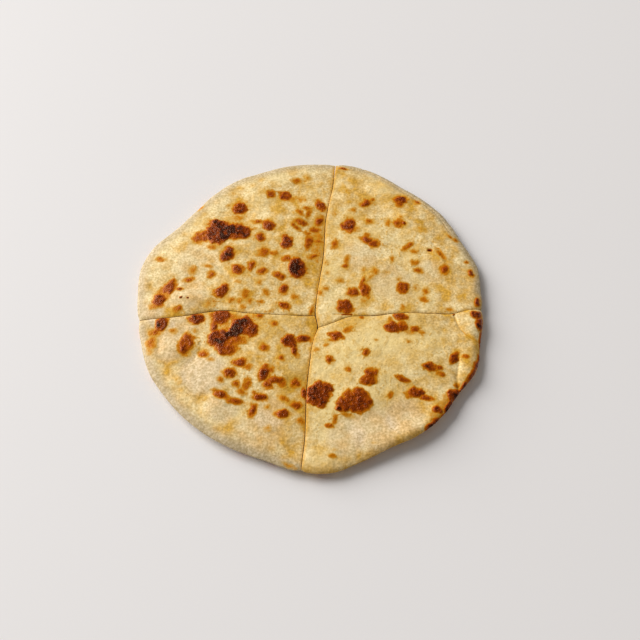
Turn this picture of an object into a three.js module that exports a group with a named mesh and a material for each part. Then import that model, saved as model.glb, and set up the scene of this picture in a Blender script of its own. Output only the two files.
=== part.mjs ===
// A naan: a round leavened flatbread, cut in four quarters that still lie together.
// Millimetres, +Z up. The origin is under the middle of the bread, at the level it rests on.
// +Y points to the back, and each quarter is named by where it lies.

import * as THREE from "three";

// Driving dimensions

const BREAD_RADIUS = 90;
// How far the hand-shaped rim stands outside (+) or inside (-) a true circle, one value for
// each RIM_STEP degrees, anticlockwise from +X
const RIM_STEP = 10;
const RIM_WAVER = [
  0.5, 1, 3.5, 2.5, 4, 4.5, 4, 6, 6.5, 4.5, 3.5, 1.5,
  1, -1.5, -4, -4, 0, 1.5, -0.5, -1.5, -1.5, -0.5, -1, -1,
  -1, -1, -0.5, 2.5, 3.5, 0.5, -1, 0.5, 0.5, -0.5, 2, 0,
];

const MIDDLE_THICKNESS = 8.0;
const RIM_THICKNESS = 5.6;
// The rim stands a little off its plate. Its lip is at this level, rounded off above over one
// width, and the underside slopes in below it over the other, down to the flat.
const LIP_LEVEL = 4.0;
const RIM_ROUNDING = 4.6;
// Where the rim curled up, the lip is higher still: middle x, y, reach and extra height
const LIP_CURL = [58, -66, 28, 1.7];
const LIFT_WIDTH = 7.0;
const LIFT_CURVE = 1.7;

// The cuts: one long cut from front to back, and a left and a right cut that meet it
// 8 mm apart. The knife pressed the edges down and nicked the rim at each cut's end.
const CUT_GAP = 0.35;
const CUT_EDGE_WIDTH = 1.6;
const CUT_EDGE_DROP = 0.35;
const RIM_NICK_DEPTH = 0.8;
const RIM_NICK_WIDTH = 2.5;
// [y, x] along the long cut, then [x, y] along the two cross cuts
const LONG_CUT = [
  [-94, 1.6], [-84, 2.1], [-74, 2.5], [-54, 1.7], [-46, 1.7], [-34, 2.3],
  [-26, 2.7], [-20, 3.8], [-15, 5.0], [-11, 4.4], [-6, 3.1], [12, 4.0],
  [30, 5.4], [53, 5.3], [66, 6.4], [77, 7.8], [93, 8.7],
];
const LEFT_CUT = [
  [-92, -16.4], [-82, -15.5], [-72, -14.0], [-62, -12.1], [-54, -9.9], [-47, -8.4],
  [-40, -8.0], [-34, -8.7], [-22, -8.7], [-4, -8.0], [6, -6.9],
];
const RIGHT_CUT = [
  [2, -15.5], [8, -13.5], [14, -10.6], [18, -8.1], [22, -6.5], [27, -5.7], [34, -5.0],
  [41, -3.5], [48, -2.3], [60, -1.1], [68, -0.4], [74, 0], [79, 1.9], [85, 3.7], [92, 4.7],
];
// Both left quarters sink towards the long cut, so that the right ones stand proud of them
const LEFT_SIDE_DROP = 0.9;
const LEFT_SIDE_SLOPE = 9;

// Blisters, puffs and dents of the top: middle x, y, half length, half width, turn of the
// length in degrees from +X, and height
const SWELLINGS = [
  // back left: one broad puff, a dent with a ridge beside it, a roll behind the left cut
  [-46, 29, 34, 28, 20, 1.3],
  [-15, 71, 9, 6, 10, -0.9],
  [-34, 68, 8, 7, 0, 0.6],
  [-61, -2, 13, 7, 10, 1.1],
  [-33, 3, 12, 9, 0, 0.4],
  // front left: three blisters with creases between them
  [-69, -32, 8, 7, 0, 0.9],
  [-55, -34, 10, 4, 40, -0.8],
  [-43, -46, 15, 11, -20, 0.9],
  [-50, -60, 6, 5, 90, -0.4],
  [-38, -63, 8, 6, 0, 0.7],
  [-30, -29, 26, 18, 0, 0.7],
  // front right: a crest that falls away to a flat border, and a rim that curled up
  [33, -29, 30, 20, 0, 1.3],
  [38, -62, 24, 6, 8, -0.9],
  [50, -72, 16, 5, 33, 0.6],
  [60, -67, 24, 10, 42, 1.5],
  // back right: a ridge that follows the rim, and a low middle
  [48, 61, 28, 6, -52, 0.9],
  [22, 31, 16, 16, 0, 0.4],
  // blisters on the right of the rim, each with a crease on its inner side
  [84, -4, 8, 6, 90, 1.6],
  [78.5, -9, 9, 1.8, -52, -0.6],
  [83, -31, 11, 5, 92, 1.2],
  [76.5, -31, 13, 1.8, 90, -0.5],
];
// Slow waves that leave no stretch of the top quite flat: length of wave, direction, shift, height
const WAVES = [
  [37, 25, 0.4, 0.16],
  [27, 118, 1.9, 0.13],
  [19, 70, 3.1, 0.09],
];

const CRUST_COLOUR = 0xdcb583;
const CRUST_ROUGHNESS = 0.62;

// Spacing of the surface net, as distances in mm from the cuts and from the rim
const NET_AT_CUT = [0, 0.6, 1.6, 3.4];
const NET_AT_RIM = [LIFT_WIDTH, 4.8, 3.0, 1.5, 0.5, 0];
const NET_MIDDLE_CELLS = 24;
const FOOT_ROWS = 5;
// Rounds of the search for a corner, and how steeply the rim is drawn in to a cut edge's end
const CORNER_STEPS = 20;
const RIM_END_BLEND = 12;

// A smooth line through sorted [place, value] pairs, straight on past both ends
function smoothLine(pairs) {
  const last = pairs.length - 1;
  const slopes = pairs.map((pair, i) => {
    const before = pairs[Math.max(i - 1, 0)];
    const after = pairs[Math.min(i + 1, last)];
    return (after[1] - before[1]) / (after[0] - before[0]);
  });
  return (place) => {
    if (place <= pairs[0][0]) return pairs[0][1] + slopes[0] * (place - pairs[0][0]);
    if (place >= pairs[last][0]) return pairs[last][1] + slopes[last] * (place - pairs[last][0]);
    const i = pairs.findIndex((pair) => pair[0] > place) - 1;
    const span = pairs[i + 1][0] - pairs[i][0];
    const t = (place - pairs[i][0]) / span;
    const bend0 = slopes[i] * span * t * (1 - t) ** 2;
    const bend1 = slopes[i + 1] * span * t ** 2 * (t - 1);
    const blend = t * t * (3 - 2 * t);
    return pairs[i][1] * (1 - blend) + pairs[i + 1][1] * blend + bend0 + bend1;
  };
}

const longCutX = smoothLine(LONG_CUT);
const leftCutY = smoothLine(LEFT_CUT);
const rightCutY = smoothLine(RIGHT_CUT);

// Rim radius at an angle, before the cuts nick it
const wavingRim = smoothLine(
  Array.from({ length: RIM_WAVER.length + 3 }, (_, i) => {
    const step = i - 1;
    const waver = RIM_WAVER[(step + RIM_WAVER.length) % RIM_WAVER.length];
    return [step * RIM_STEP, BREAD_RADIUS + waver];
  }),
);

function degreesOf(point) {
  const degrees = THREE.MathUtils.radToDeg(Math.atan2(point.y, point.x));
  return THREE.MathUtils.euclideanModulo(degrees, 360);
}

// Where a line that runs outwards meets the rim. pointAt gives the line's point at a distance.
function meetRim(pointAt) {
  let near = BREAD_RADIUS * 0.5;
  let far = BREAD_RADIUS * 1.5;
  for (let step = 0; step < 40; step += 1) {
    const middle = (near + far) / 2;
    const point = pointAt(middle);
    if (point.length() < wavingRim(degreesOf(point))) near = middle;
    else far = middle;
  }
  return near;
}

const CUT_ENDS = [
  (s) => new THREE.Vector2(longCutX(s), s),
  (s) => new THREE.Vector2(longCutX(-s), -s),
  (s) => new THREE.Vector2(-s, leftCutY(-s)),
  (s) => new THREE.Vector2(s, rightCutY(s)),
].map((pointAt) => pointAt(meetRim(pointAt)));

// Rim point at an angle in degrees, with the nick that each cut leaves
function rimPoint(degrees) {
  const turned = THREE.MathUtils.euclideanModulo(degrees, 360);
  const angle = THREE.MathUtils.degToRad(turned);
  const point = new THREE.Vector2(Math.cos(angle), Math.sin(angle)).multiplyScalar(wavingRim(turned));
  const nick = CUT_ENDS.reduce(
    (sum, end) => sum + RIM_NICK_DEPTH * Math.exp(-((point.distanceTo(end) / RIM_NICK_WIDTH) ** 2)),
    0,
  );
  return point.multiplyScalar(1 - nick / BREAD_RADIUS);
}

function swellingHeight(x, y) {
  return SWELLINGS.reduce((sum, [middleX, middleY, halfLength, halfWidth, turn, height]) => {
    const angle = THREE.MathUtils.degToRad(turn);
    const along = (x - middleX) * Math.cos(angle) + (y - middleY) * Math.sin(angle);
    const across = (y - middleY) * Math.cos(angle) - (x - middleX) * Math.sin(angle);
    return sum + height * Math.exp(-((along / halfLength) ** 2) - (across / halfWidth) ** 2);
  }, 0);
}

function waveHeight(x, y) {
  return WAVES.reduce((sum, [length, direction, shift, height]) => {
    const angle = THREE.MathUtils.degToRad(direction);
    const along = x * Math.cos(angle) + y * Math.sin(angle);
    return sum + height * Math.sin((2 * Math.PI * along) / length + shift);
  }, 0);
}

function lipLevel(x, y) {
  const [middleX, middleY, reach, height] = LIP_CURL;
  const away = Math.hypot(x - middleX, y - middleY);
  return LIP_LEVEL + height * Math.exp(-((away / reach) ** 2));
}

// Rise of a quarter-round edge: 0 at its lip, 1 once the distance reaches its width
function edgeRound(distance, width) {
  const inward = Math.min(distance / width, 1);
  return Math.sqrt(1 - (1 - inward) ** 2);
}

function pressedEdge(distance) {
  return CUT_EDGE_DROP * (1 - Math.min(distance / CUT_EDGE_WIDTH, 1)) ** 2;
}

// The plan of one quarter. A place in it is (a, b): a along the cross cut, b along the long
// cut, both 0 at the corner, and a * a + b * b = 1 on the rim.
class QuarterPlan {
  constructor(sideX, sideY) {
    const crossCutY = sideX < 0 ? leftCutY : rightCutY;
    const shiftX = (sideX * CUT_GAP) / 2;
    const shiftY = (sideY * CUT_GAP) / 2;
    this.onLeft = sideX < 0;
    this.mirrored = sideX * sideY < 0;
    this.longEdge = (y) => new THREE.Vector2(longCutX(y) + shiftX, y);
    this.crossEdge = (x) => new THREE.Vector2(x, crossCutY(x) + shiftY);
    this.corner = new THREE.Vector2();
    for (let step = 0; step < CORNER_STEPS; step += 1) {
      this.corner.x = longCutX(this.corner.y) + shiftX;
      this.corner.y = crossCutY(this.corner.x) + shiftY;
    }
    this.longEnd = this.endOf(this.longEdge, sideY);
    this.crossEnd = this.endOf(this.crossEdge, sideX);
    this.crossDegrees = degreesOf(this.crossEnd);
    this.sweep = ((degreesOf(this.longEnd) - this.crossDegrees + 540) % 360) - 180;
  }

  endOf(edge, side) {
    const reach = meetRim((s) => edge(side * s));
    return edge(side * reach * (1 - RIM_NICK_DEPTH / BREAD_RADIUS));
  }

  // Rim point at a share of the turn from the cross cut (0) to the long cut (1). It starts and
  // stops exactly where the cut edges end.
  rimAt(turn) {
    const rimAtShare = (share) => rimPoint(this.crossDegrees + this.sweep * share);
    const startMisfit = this.crossEnd.clone().sub(rimAtShare(0));
    const stopMisfit = this.longEnd.clone().sub(rimAtShare(1));
    const point = rimAtShare(turn);
    point.addScaledVector(startMisfit, (1 - turn) ** RIM_END_BLEND);
    return point.addScaledVector(stopMisfit, turn ** RIM_END_BLEND);
  }

  // How far a cut edge strays from its chord, at a share of its length
  stray(edge, end, axis, share) {
    const onChord = this.corner.clone().lerp(end, share);
    return edge(onChord[axis]).sub(onChord);
  }

  pointAt(a, b) {
    const share = Math.hypot(a, b);
    const turn = Math.atan2(b, a) / (Math.PI / 2);
    const point = this.corner.clone().lerp(this.rimAt(turn), share);
    point.addScaledVector(this.stray(this.crossEdge, this.crossEnd, "x", share), 1 - turn);
    return point.addScaledVector(this.stray(this.longEdge, this.longEnd, "y", share), turn);
  }

  rimDistance(a, b) {
    return (1 - Math.min(Math.hypot(a, b), 1)) * BREAD_RADIUS;
  }

  topHeight(a, b) {
    const { x, y } = this.pointAt(a, b);
    const toLongCut = a * BREAD_RADIUS;
    const toCrossCut = b * BREAD_RADIUS;
    let height = RIM_THICKNESS + (MIDDLE_THICKNESS - RIM_THICKNESS) * (1 - a * a - b * b);
    height += swellingHeight(x, y) + waveHeight(x, y);
    if (this.onLeft) height -= LEFT_SIDE_DROP * Math.exp(-((toLongCut / LEFT_SIDE_SLOPE) ** 2));
    height -= pressedEdge(toLongCut) + pressedEdge(toCrossCut);
    const lip = lipLevel(x, y);
    return lip + (height - lip) * edgeRound(this.rimDistance(a, b), RIM_ROUNDING);
  }

  footHeight(a, b) {
    const { x, y } = this.pointAt(a, b);
    return lipLevel(x, y) * (1 - Math.min(this.rimDistance(a, b) / LIFT_WIDTH, 1)) ** LIFT_CURVE;
  }
}

// Shares of the way from cut to rim at which the net has a line, close together at both ends
function netShares() {
  const first = NET_AT_CUT.map((distance) => distance / BREAD_RADIUS);
  const last = NET_AT_RIM.map((distance) => 1 - distance / BREAD_RADIUS);
  const from = first[first.length - 1];
  const cell = (last[0] - from) / NET_MIDDLE_CELLS;
  const between = Array.from({ length: NET_MIDDLE_CELLS - 1 }, (_, i) => from + cell * (i + 1));
  return [...first, ...between, ...last];
}

// Spreads the places (u, v) of a square net over the quarter disc
function spreadOverDisc(u, v) {
  return [u * Math.sqrt(1 - (v * v) / 2), v * Math.sqrt(1 - (u * u) / 2)];
}

// The closed skin of one quarter: a net over the top, a wall down each cut, the rounded
// underside of the rim in rows, and the flat that it rests on
class QuarterSkin {
  constructor(plan) {
    this.plan = plan;
    this.shares = netShares();
    this.end = this.shares.length - 1;
    this.positions = [];
    this.triangles = [];
    this.addTop();
    this.addCutWalls();
    this.addFlat(this.addRimUnderside());
  }

  addPoint(a, b, height) {
    const { x, y } = this.plan.pointAt(a, b);
    this.positions.push(x, y, height);
    return this.positions.length / 3 - 1;
  }

  // A face with corners p, q, r, s. Where two of them are one point it is a triangle.
  addFour(p, q, r, s) {
    for (const triangle of [[p, q, r], [p, r, s]]) {
      if (new Set(triangle).size < 3) continue;
      if (this.plan.mirrored) triangle.reverse();
      this.triangles.push(triangle);
    }
  }

  addTop() {
    this.top = this.shares.map((u) => this.shares.map((v) => {
      const [a, b] = spreadOverDisc(u, v);
      return this.addPoint(a, b, this.plan.topHeight(a, b));
    }));
    for (let i = 0; i < this.end; i += 1) {
      const [row, next] = [this.top[i], this.top[i + 1]];
      for (let j = 0; j < this.end; j += 1) this.addFour(row[j], next[j], next[j + 1], row[j + 1]);
    }
  }

  // Walls down the two cuts. Each foot line runs from the corner out to the rim's own vertex.
  addCutWalls() {
    const corner = this.addPoint(0, 0, 0);
    const crossRim = this.top[this.end][0];
    const longRim = this.top[0][this.end];
    const between = this.shares.slice(1, -1);
    const footAt = (a, b) => this.addPoint(a, b, this.plan.footHeight(a, b));
    this.crossFoot = [corner, ...between.map((share) => footAt(share, 0)), crossRim];
    this.longFoot = [corner, ...between.map((share) => footAt(0, share)), longRim];
    const crossTop = this.top.map((row) => row[0]);
    const longTop = this.top[0];
    for (let i = 0; i < this.end; i += 1) {
      this.addFour(this.crossFoot[i], this.crossFoot[i + 1], crossTop[i + 1], crossTop[i]);
      this.addFour(longTop[i], longTop[i + 1], this.longFoot[i + 1], this.longFoot[i]);
    }
  }

  // Rows from the rim's lip in to where the flat starts. Returns the last row.
  addRimUnderside() {
    const { end, shares, top } = this;
    const firstSide = shares.map((v, j) => ({ id: top[end][j], place: spreadOverDisc(1, v) }));
    const lastSide = shares.map((u, i) => ({ id: top[i][end], place: spreadOverDisc(u, 1) }));
    const rim = [...firstSide, ...lastSide.reverse().slice(1)];
    let outer = rim.map(({ id }) => id);
    for (let row = 1; row <= FOOT_ROWS; row += 1) {
      const share = shares[end - row];
      const middle = rim.slice(1, -1).map(({ place: [a, b] }) => {
        return this.addPoint(a * share, b * share, this.plan.footHeight(a * share, b * share));
      });
      const inner = [this.crossFoot[end - row], ...middle, this.longFoot[end - row]];
      for (let i = 1; i < rim.length; i += 1) {
        this.addFour(outer[i], outer[i - 1], inner[i - 1], inner[i]);
      }
      outer = inner;
    }
    return outer;
  }

  // The flat underside, between the two walls' feet and the last row under the rim
  addFlat(lastRow) {
    const wallLength = this.end - FOOT_ROWS;
    const crossSide = this.crossFoot.slice(0, wallLength);
    const longSide = this.longFoot.slice(1, wallLength).reverse();
    const border = [...crossSide, ...lastRow, ...longSide];
    const contour = border.map((id) => {
      return new THREE.Vector2(this.positions[id * 3], this.positions[id * 3 + 1]);
    });
    for (const triangle of THREE.ShapeUtils.triangulateShape(contour, [])) {
      const [first, second, third] = triangle.map((i) => contour[i]);
      const facesUp = second.clone().sub(first).cross(third.clone().sub(first)) > 0;
      if (facesUp) triangle.reverse();
      this.triangles.push(triangle.map((i) => border[i]));
    }
  }

  toGeometry() {
    const geometry = new THREE.BufferGeometry();
    geometry.setAttribute("position", new THREE.Float32BufferAttribute(this.positions, 3));
    geometry.setIndex(this.triangles.flat());
    geometry.computeVertexNormals();
    return geometry;
  }
}

function crustMaterial() {
  return new THREE.MeshStandardMaterial({
    color: CRUST_COLOUR,
    roughness: CRUST_ROUGHNESS,
    metalness: 0,
  });
}

const QUARTERS = [
  ["quarter_back_left", -1, 1],
  ["quarter_back_right", 1, 1],
  ["quarter_front_left", -1, -1],
  ["quarter_front_right", 1, -1],
];

const naan = new THREE.Group();
for (const [name, sideX, sideY] of QUARTERS) {
  const skin = new QuarterSkin(new QuarterPlan(sideX, sideY));
  const quarter = new THREE.Mesh(skin.toGeometry(), crustMaterial());
  quarter.name = name;
  naan.add(quarter);
}

// The bread lies with the middle of its length and width over the origin
const middle = new THREE.Box3().setFromObject(naan).getCenter(new THREE.Vector3());
naan.position.set(-middle.x, -middle.y, 0);

export default naan;
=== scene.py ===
import math

import bmesh
import bpy
import numpy as np
from mathutils import Matrix, Vector, bvhtree, noise


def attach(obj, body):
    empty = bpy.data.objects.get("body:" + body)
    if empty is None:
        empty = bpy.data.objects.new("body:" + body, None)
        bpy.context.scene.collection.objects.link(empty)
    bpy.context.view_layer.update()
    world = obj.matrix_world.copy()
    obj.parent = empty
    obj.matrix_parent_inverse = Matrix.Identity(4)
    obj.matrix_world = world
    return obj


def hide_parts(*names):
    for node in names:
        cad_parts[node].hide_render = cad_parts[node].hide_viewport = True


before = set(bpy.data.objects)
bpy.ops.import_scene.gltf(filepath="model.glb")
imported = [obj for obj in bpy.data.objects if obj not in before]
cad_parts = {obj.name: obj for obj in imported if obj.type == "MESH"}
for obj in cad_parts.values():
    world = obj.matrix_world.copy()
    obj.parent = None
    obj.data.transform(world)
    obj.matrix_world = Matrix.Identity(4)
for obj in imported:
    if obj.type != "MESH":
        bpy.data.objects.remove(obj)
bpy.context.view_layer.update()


# ---- Camera ----------------------------------------------------------------------------------------
# Someone standing at the table looks down at the bread at 59 degrees, with the head tilted slightly.
# The lens is a short telephoto, so the far edge is only a little smaller than the near one.

MM = 0.001
CAMERA_PLACE = Vector((5.9, -287.6, 467.8)) * MM
LOOKS_DOWN = math.radians(59.0)
TILT = math.radians(3.9)
LENS = 59.06
SENSOR = 36.0
CLIP_START = 0.01

ahead = Vector((0.0, math.cos(LOOKS_DOWN), -math.sin(LOOKS_DOWN)))
level = Vector((1.0, 0.0, 0.0))
above = level.cross(ahead)
to_the_right = level * math.cos(TILT) + above * math.sin(TILT)
to_the_top = above * math.cos(TILT) - level * math.sin(TILT)

camera_data = bpy.data.cameras.new("table_camera")
camera_data.lens = LENS
camera_data.sensor_width = SENSOR
camera_data.clip_start = CLIP_START
camera = bpy.data.objects.new("table_camera", camera_data)
camera.matrix_world = Matrix.Translation(CAMERA_PLACE) @ Matrix((
    (to_the_right.x, to_the_top.x, -ahead.x),
    (to_the_right.y, to_the_top.y, -ahead.y),
    (to_the_right.z, to_the_top.z, -ahead.z))).to_4x4()
bpy.context.scene.collection.objects.link(camera)
bpy.context.scene.camera = camera


# ---- Table and light -------------------------------------------------------------------------------
# A plain pale table top. One large soft lamp stands low behind the bread on the left, so the rim's
# shadow falls to the front right, and a white room fills the shadows.

TABLE_SIZE = 3.0
TABLE_WHITE = "#EEEAE8"
TABLE_ROUGHNESS = 0.6
LAMP_PLACE = Vector((-4.0, 2.1, 2.5))
LAMP_WIDTH = 4.4
LAMP_WATTS = 455.0
ROOM_WHITE = "#FFFDFA"
ROOM_STRENGTH = 0.22


def colour(hex_code):
    """Turns an sRGB hex colour to the linear numbers that Blender's sockets take."""
    parts = [int(hex_code[i:i + 2], 16) / 255.0 for i in (1, 3, 5)]
    linear = [c / 12.92 if c <= 0.04045 else ((c + 0.055) / 1.055) ** 2.4 for c in parts]
    return (*linear, 1.0)


table_mesh = bpy.data.meshes.new("table_top")
table_shape = bmesh.new()
bmesh.ops.create_grid(table_shape, x_segments=1, y_segments=1, size=TABLE_SIZE / 2)
table_shape.to_mesh(table_mesh)
table_shape.free()
table = bpy.data.objects.new("table_top", table_mesh)
bpy.context.scene.collection.objects.link(table)

table_finish = bpy.data.materials.new("plain_table_top")
table_finish.use_nodes = True
table_surface = table_finish.node_tree.nodes["Principled BSDF"]
table_surface.inputs["Base Color"].default_value = colour(TABLE_WHITE)
table_surface.inputs["Roughness"].default_value = TABLE_ROUGHNESS
table_mesh.materials.append(table_finish)

lamp_data = bpy.data.lights.new("soft_lamp", "AREA")
lamp_data.size = LAMP_WIDTH
lamp_data.energy = LAMP_WATTS
lamp = bpy.data.objects.new("soft_lamp", lamp_data)
lamp.location = LAMP_PLACE
lamp.rotation_euler = (-LAMP_PLACE).to_track_quat("-Z", "Y").to_euler()
bpy.context.scene.collection.objects.link(lamp)

room = bpy.data.worlds.new("white_room")
room.use_nodes = True
room.node_tree.nodes["Background"].inputs["Color"].default_value = colour(ROOM_WHITE)
room.node_tree.nodes["Background"].inputs["Strength"].default_value = ROOM_STRENGTH
bpy.context.scene.world = room
bpy.context.scene.view_settings.view_transform = "Standard"


# ---- Crust -----------------------------------------------------------------------------------------
# The baked skin of a leavened wheat dough, brushed with a little butter. It is cream where the skin
# rose in thin blisters, golden between them and brown to nearly black where it touched the hot wall.

DOUGH_CREAM = "#F6DBA2"
DOUGH_GOLD = "#D5A03A"
DOUGH_LIGHT = "#FBDD97"
SKIN_GREY = "#E3C9A0"
# Tan of the painted shade on the rim and beside the knife's cuts.
RIM_SHADE_TAN = "#C5AF88"
# White of the painted glints.
GLINT_WHITE = "#FBE6B9"
PORE_BROWN = "#8C5A14"
CRUMB_GOLD = "#CFAE70"
BUTTER_TINT = "#FFD3A0"
TOASTED = ["#D9A437", "#CC7D0A", "#B45800", "#983F00", "#762900", "#3A0F00"]
TOASTED_AT = [0.15, 0.32, 0.48, 0.65, 0.84, 1.0]

# Clouds and spots as (size in mm, strength), and how far a spot darkens or whitens red, green and
# blue at full strength. The whitening is partly painted glints.
CLOUDS = ((16.0, 0.4), (6.0, 0.5), (2.5, 0.08))
MOTTLE_AND_GLINT_SPOTS = ((8.0, 0.05), (3.0, 0.09), (1.1, 0.23))
SPOT_DARKENS = (0.72, 0.8, 1.15)
SPOT_WHITENS_AS_GLINTS = (1.1, 1.25, 1.75)
SPOTS_ON_LIGHT_PLACES = 0.25

# Levels between which a noise pattern mostly stays, and those that spots and painted glints take of it.
NOISE_SPAN = (0.3, 0.7)
SPOT_SPAN = (0.36, 0.72)
GLINT_SPAN = (0.56, 0.7)

# Sizes and heights of the finest patterns, in mm, and how strongly painted glints and pores cover the
# dough.
# A pore's radius is a share of the spacing of the pores.
GLINT_SIZE = 2.8
GLINT_COVER = 0.15
PORE_SPACING = 3.4
PORE_RADIUS = (0.06, 0.13)
PORE_COVER = 0.45
GRAIN_SIZE = 1.2
GRAIN_BROWNING = (0.78, 1.04)
FLOUR_SIZE = 0.9
FLOUR_HEIGHT = 0.08
WRINKLE_SIZE = 1.3
WRINKLE_HEIGHT = 0.7

# Browning from which the toasted colours begin to show, and from which they cover all.
TOAST_SHOWS = (0.03, 0.3)

# Oily bread: roughness where the grain is fine and coarse, and how much smoother a scorched skin is.
CRUST_ROUGHNESS = (0.32, 0.5)
SCORCH_SMOOTHER = -0.2
CRUST_IOR = 1.45
CRUST_SPECULAR = 0.28


def add_node(tree, kind, links=None, **settings):
    """Adds one node, sets its properties or input sockets, and links its inputs to other sockets."""
    node = tree.nodes.new(kind)
    for key, value in settings.items():
        if hasattr(node, key):
            setattr(node, key, value)
        else:
            node.inputs[key.replace("_", " ")].default_value = value
    for key, socket in (links or {}).items():
        tree.links.new(socket, node.inputs[key])
    return node


# Baked flatbread skin: dull and slightly oily, with a fine grain, pores and rough scorched blisters.
# Its patterns are fixed to the bread, and its colours follow what the baking left at each point, with
# painted light, shade and glints besides.
crust = bpy.data.materials.new("baked_flatbread_skin")
crust.use_nodes = True
tree = crust.node_tree
skin = tree.nodes["Principled BSDF"]
place = add_node(tree, "ShaderNodeTexCoord").outputs["Object"]
browning_and_shade = add_node(tree, "ShaderNodeAttribute", attribute_name="browning_and_shade").outputs["Fac"]
gold_and_shade = add_node(tree, "ShaderNodeAttribute", attribute_name="gold_and_shade").outputs["Fac"]
light = add_node(tree, "ShaderNodeAttribute", attribute_name="light").outputs["Fac"]
pale_and_shade = add_node(tree, "ShaderNodeAttribute", attribute_name="pale_and_shade").outputs["Fac"]
crumb = add_node(tree, "ShaderNodeAttribute", attribute_name="crumb").outputs["Fac"]
shaded_tan_rim = add_node(tree, "ShaderNodeAttribute", attribute_name="shaded_tan_rim").outputs["Fac"]

# Cream turns to gold by the gold attribute, with clouds of 16 mm, patches of 6 mm and finer mottling.
# The gold attribute is partly painted shade: at the tilted rim, beside the cuts and on some slopes.
gold_and_shade_share = gold_and_shade
for size, reach in CLOUDS:
    cloud = add_node(tree, "ShaderNodeTexNoise", {"Vector": place}, Scale=1 / (size * MM), Detail=1.0)
    cloud_level = add_node(tree, "ShaderNodeMapRange", {"Value": cloud.outputs["Fac"]},
                           From_Min=NOISE_SPAN[0], From_Max=NOISE_SPAN[1], To_Min=-reach, To_Max=reach)
    gold_and_shade_share = add_node(tree, "ShaderNodeMath", {0: gold_and_shade_share, 1: cloud_level.outputs[0]},
                            operation="ADD").outputs[0]
dough = add_node(tree, "ShaderNodeMix", {"Factor": gold_and_shade_share}, data_type="RGBA",
                 A=colour(DOUGH_CREAM), B=colour(DOUGH_GOLD)).outputs["Result"]

# Light places are lighter, partly as painted light on slopes that face the lamp. Pale places are greyer,
# as thin skin over a blister and as painted shade. The rim and the knife's edges get painted tan shade.
for share, tone in ((light, DOUGH_LIGHT), (pale_and_shade, SKIN_GREY), (shaded_tan_rim, RIM_SHADE_TAN)):
    dough = add_node(tree, "ShaderNodeMix", {"Factor": share, "A": dough}, data_type="RGBA",
                     B=colour(tone)).outputs["Result"]

# Spots of 8 mm, 3 mm and 1 mm make the dough darker and yellower in places and whiter in others;
# the whiter ones are partly painted glints. Light places have fewer spots.
speckles = add_node(tree, "ShaderNodeMapRange", {"Value": light},
                    From_Min=0.0, From_Max=1.0, To_Min=1.0, To_Max=SPOTS_ON_LIGHT_PLACES)
for size, reach in MOTTLE_AND_GLINT_SPOTS:
    darker = [1 - amount * reach for amount in SPOT_DARKENS]
    whiter = [1 + amount * reach for amount in SPOT_WHITENS_AS_GLINTS]
    speck = add_node(tree, "ShaderNodeTexNoise", {"Vector": place}, Scale=1 / (size * MM), Detail=1.0)
    speck_level = add_node(tree, "ShaderNodeMapRange", {"Value": speck.outputs["Fac"]},
                           From_Min=SPOT_SPAN[0], From_Max=SPOT_SPAN[1])
    speck_tint = add_node(tree, "ShaderNodeMix", {"Factor": speck_level.outputs[0]}, data_type="RGBA",
                          A=(*darker, 1.0), B=(*whiter, 1.0))
    dough = add_node(tree, "ShaderNodeMix", {"Factor": speckles.outputs[0], "A": dough,
                                             "B": speck_tint.outputs["Result"]},
                     data_type="RGBA", blend_type="MULTIPLY").outputs["Result"]

# Whiter flakes of 3 mm are painted glints, and small pores of up to 0.9 mm are brown.
glint_pattern = add_node(tree, "ShaderNodeTexNoise", {"Vector": place}, Scale=1 / (GLINT_SIZE * MM), Detail=2.0)
glint_share = add_node(tree, "ShaderNodeMapRange", {"Value": glint_pattern.outputs["Fac"]},
                       From_Min=GLINT_SPAN[0], From_Max=GLINT_SPAN[1], To_Min=0.0, To_Max=GLINT_COVER)
glinted = add_node(tree, "ShaderNodeMix", {"Factor": glint_share.outputs[0], "A": dough},
                  data_type="RGBA", B=colour(GLINT_WHITE))
pore = add_node(tree, "ShaderNodeTexVoronoi", {"Vector": place}, Scale=1 / (PORE_SPACING * MM))
pore_share = add_node(tree, "ShaderNodeMapRange", {"Value": pore.outputs["Distance"]},
                      From_Min=PORE_RADIUS[0], From_Max=PORE_RADIUS[1], To_Min=PORE_COVER, To_Max=0.0)
pored = add_node(tree, "ShaderNodeMix", {"Factor": pore_share.outputs[0], "A": glinted.outputs["Result"]},
                 data_type="RGBA", B=colour(PORE_BROWN))

# Toasting steps: the browning attribute, which also holds painted shade at the rim and in creases, made
# uneven by a 1.2 mm grain, runs through the browns.
grain = add_node(tree, "ShaderNodeTexNoise", {"Vector": place}, Scale=1 / (GRAIN_SIZE * MM),
                 Detail=3.0, Roughness=0.6)
grain_level = add_node(tree, "ShaderNodeMapRange", {"Value": grain.outputs["Fac"]},
                       From_Min=NOISE_SPAN[0], From_Max=NOISE_SPAN[1],
                       To_Min=GRAIN_BROWNING[0], To_Max=GRAIN_BROWNING[1])
toast = add_node(tree, "ShaderNodeMath", {0: browning_and_shade, 1: grain_level.outputs[0]},
                 operation="MULTIPLY", use_clamp=True)
toast_colour = add_node(tree, "ShaderNodeValToRGB", {"Fac": toast.outputs[0]})
steps = toast_colour.color_ramp
for position, hex_code in zip(TOASTED_AT[1:-1], TOASTED[1:-1]):
    steps.elements.new(position).color = colour(hex_code)
steps.elements[0].position = TOASTED_AT[0]
steps.elements[0].color = colour(TOASTED[0])
steps.elements[len(TOASTED) - 1].color = colour(TOASTED[-1])
toast_amount = add_node(tree, "ShaderNodeMapRange", {"Value": toast.outputs[0]},
                        interpolation_type="SMOOTHSTEP", From_Min=TOAST_SHOWS[0], From_Max=TOAST_SHOWS[1])
baked = add_node(tree, "ShaderNodeMix", {"Factor": toast_amount.outputs[0], "A": pored.outputs["Result"],
                                         "B": toast_colour.outputs["Color"]}, data_type="RGBA")
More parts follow.
